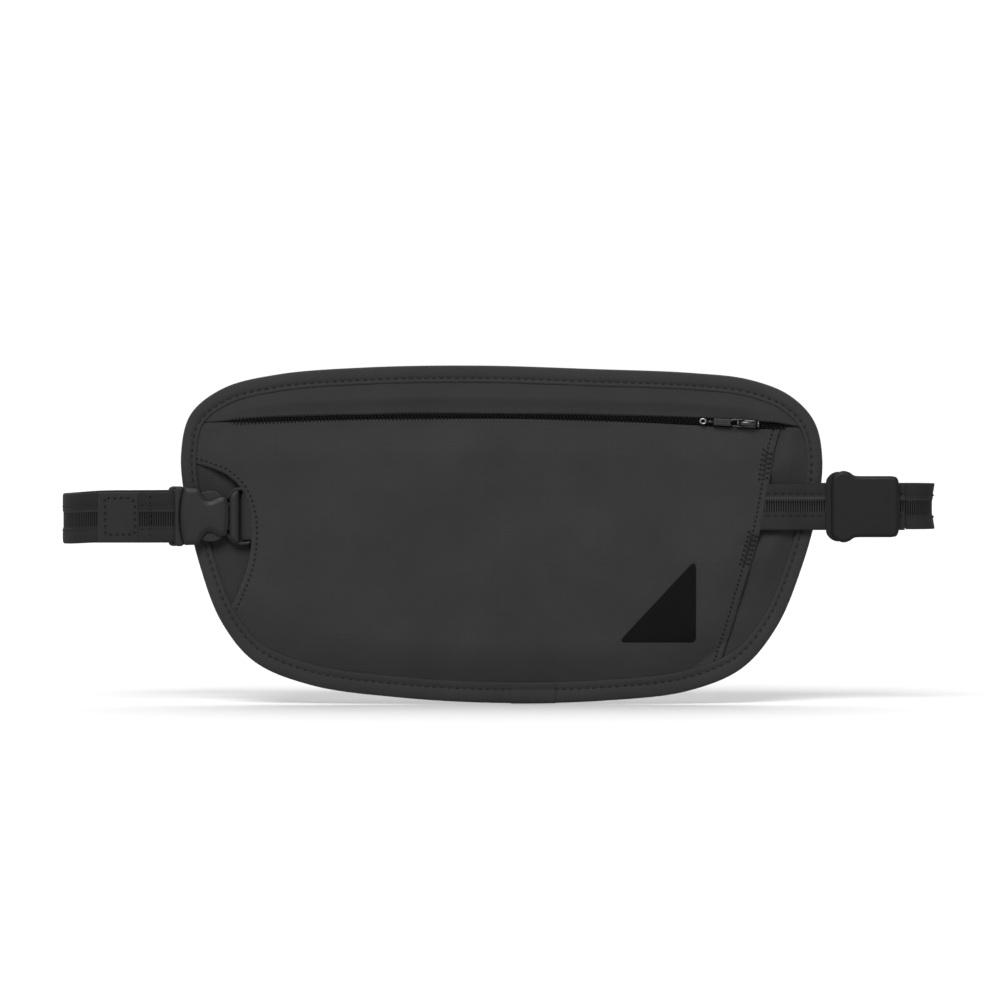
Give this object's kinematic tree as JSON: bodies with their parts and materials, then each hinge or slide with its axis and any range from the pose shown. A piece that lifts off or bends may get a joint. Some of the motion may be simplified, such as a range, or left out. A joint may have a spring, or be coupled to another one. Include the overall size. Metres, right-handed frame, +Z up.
{
  "type": "money belt",
  "caption": "Slim zipped waist pouch with a bound edge, side-release buckle, sliding adjuster and a waist strap that closes into a loop.",
  "frame": {"origin": "centre of the pouch's flat back face, which lies against the wearer", "axes": "+Z up as worn, +X to the viewer's right along the belt's longest side, +Y from the pouch back towards the wearer; the pouch front faces -Y"},
  "size_m": [0.3887, 0.0729, 0.1503],
  "materials": {
    "ripstop": "charcoal nylon with a fine ripstop grid, slight sheen",
    "plain_cloth": "charcoal plain-weave nylon, matt",
    "binding": "charcoal soft edge tape with a stitched inner edge",
    "backing": "dark knitted mesh, soft against the body",
    "liner": "thin grey metallised cloth",
    "label": "near-black smooth label, edges turned in",
    "thread": "dense black zigzag stitching",
    "zip_tape": "black woven tape",
    "zip_coil": "black nylon coil",
    "dark_metal": "dark polished metal",
    "grip": "grey moulded grip with a fine texture",
    "buckle_plastic": "dark grey moulded acetal, satin",
    "webbing": "charcoal strap with two hemmed edges and a ribbed centre"
  },
  "bodies": {
    "pouch": {"back_panel": "backing", "shielding_liner": "liner", "front_panel": "ripstop", "top_yoke": "plain_cloth", "side_panel": "plain_cloth", "garage_panel": "plain_cloth", "edge_binding": "binding", "label_patch": "label", "bartack_upper": "thread", "bartack_lower": "thread", "zip_tape_upper": "zip_tape", "zip_tape_lower": "zip_tape", "zip_coil_upper": "zip_coil", "zip_coil_lower": "zip_coil", "zip_stop_closed": "dark_metal", "zip_stop_open": "dark_metal", "buckle_plug": "buckle_plastic", "plug_webbing": "webbing", "strap_bend_left": "webbing", "strap_rear": "webbing", "strap_bend_right": "webbing", "strap_lead": "webbing", "anchor_ring": "buckle_plastic", "anchor_tab": "webbing"},
    "slider": {"zip_slider": "dark_metal"},
    "pull": {"zip_pull": "dark_metal", "zip_pull_grip": "grip"},
    "socket": {"buckle_socket": "buckle_plastic", "strap_tail": "webbing"},
    "arm_upper": {"release_arm_upper": "buckle_plastic"},
    "arm_lower": {"release_arm_lower": "buckle_plastic"},
    "adjuster": {"adjuster_frame": "buckle_plastic", "adjuster_cover": "buckle_plastic", "strap_over_bar": "webbing"}
  },
  "joints": [
    {"name": "zip_slide", "type": "hinge", "parent": "pouch", "child": "slider", "pos_m": [-0.015, -0.0054, -2.2072], "axis": [0, -1, 0], "range_deg": [0, 5.6]},
    {"name": "zip_pull_swing", "type": "hinge", "parent": "slider", "child": "pull", "pos_m": [0.1076, -0.00735, 0.04947], "axis": [0.055, 0, 0.9985], "range_deg": [0, 170]},
    {"name": "buckle_release", "type": "slide", "parent": "pouch", "child": "socket", "axis": [-1, 0, 0], "range_m": [0, 0.028], "deforming": ["strap_bend_left", "release_arm_upper", "release_arm_lower"]},
    {"name": "arm_upper_squeeze", "type": "hinge", "parent": "pouch", "child": "arm_upper", "pos_m": [-0.1191, -0.0078, 0.0132], "axis": [0, -1, 0], "range_deg": [0, 8], "stiffness_Nm_per_rad": 0.15},
    {"name": "arm_lower_squeeze", "type": "hinge", "parent": "pouch", "child": "arm_lower", "pos_m": [-0.1191, -0.0078, 0.0034], "axis": [0, 1, 0], "range_deg": [0, 8], "stiffness_Nm_per_rad": 0.15},
    {"name": "adjuster_slide", "type": "slide", "parent": "pouch", "child": "adjuster", "axis": [-1, 0, 0], "range_m": [-0.008, 0.024]}
  ]
}
